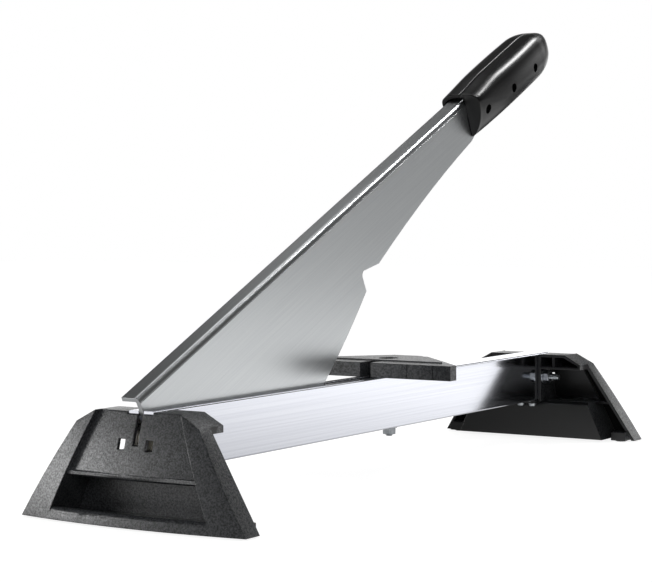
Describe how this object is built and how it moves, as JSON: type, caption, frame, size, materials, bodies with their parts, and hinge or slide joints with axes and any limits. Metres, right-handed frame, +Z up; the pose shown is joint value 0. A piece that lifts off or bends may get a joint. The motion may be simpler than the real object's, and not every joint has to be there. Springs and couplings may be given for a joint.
{
  "type": "laminate cutter",
  "caption": "Bench cutter for laminate planks: slotted box beam on moulded feet, a folded cutting arm that swings through the slot, and a swivelling stop plate.",
  "frame": {"origin": "on the ground, midway between the feet, under the middle of the beam", "axes": "+X across the beam to the right seen from the front foot, +Y along the beam to the rear foot, +Z up"},
  "size_m": [0.1916, 0.616, 0.3642],
  "materials": {
    "bright_aluminium": "bright extruded",
    "charcoal_abs": "fine spark-eroded texture",
    "black_rubber": "moulded",
    "zinc_steel": "zinc plated",
    "natural_nylon": "turned",
    "satin_steel": "satin rolled",
    "black_nylon": "glossy moulded"
  },
  "bodies": {
    "base": {"beam": "bright_aluminium", "front_foot": "charcoal_abs", "rear_foot": "charcoal_abs", "front_pads": "black_rubber", "rear_pads": "black_rubber", "front_foot_screws": "zinc_steel", "rear_foot_screws": "zinc_steel", "pivot_bolt": "zinc_steel", "pivot_washers": "zinc_steel", "pivot_nut": "zinc_steel", "rear_bolt": "zinc_steel", "rear_washers": "zinc_steel", "rear_nut": "zinc_steel", "rear_sleeve": "zinc_steel", "stop_bolt": "zinc_steel", "stop_top_washer": "zinc_steel", "stop_bottom_washer": "zinc_steel", "stop_nut": "zinc_steel", "stop_sleeve": "zinc_steel"},
    "lever": {"cutting_arm": "satin_steel", "pivot_bushes": "natural_nylon", "left_grip_shell": "black_nylon", "right_grip_shell": "black_nylon", "grip_screws": "zinc_steel", "grip_nuts": "zinc_steel"},
    "stop": {"stop_plate": "charcoal_abs"}
  },
  "joints": [
    {"name": "lever_swing", "type": "hinge", "parent": "base", "child": "lever", "pos_m": [0, -0.271, 0.0557], "axis": [1, 0, 0], "range_deg": [-14.5, 54]},
    {"name": "stop_swivel", "type": "hinge", "parent": "base", "child": "stop", "pos_m": [0, 0.0278, 0.0767], "axis": [0, 0, 1], "range_deg": [-4.5, 4.5]}
  ]
}
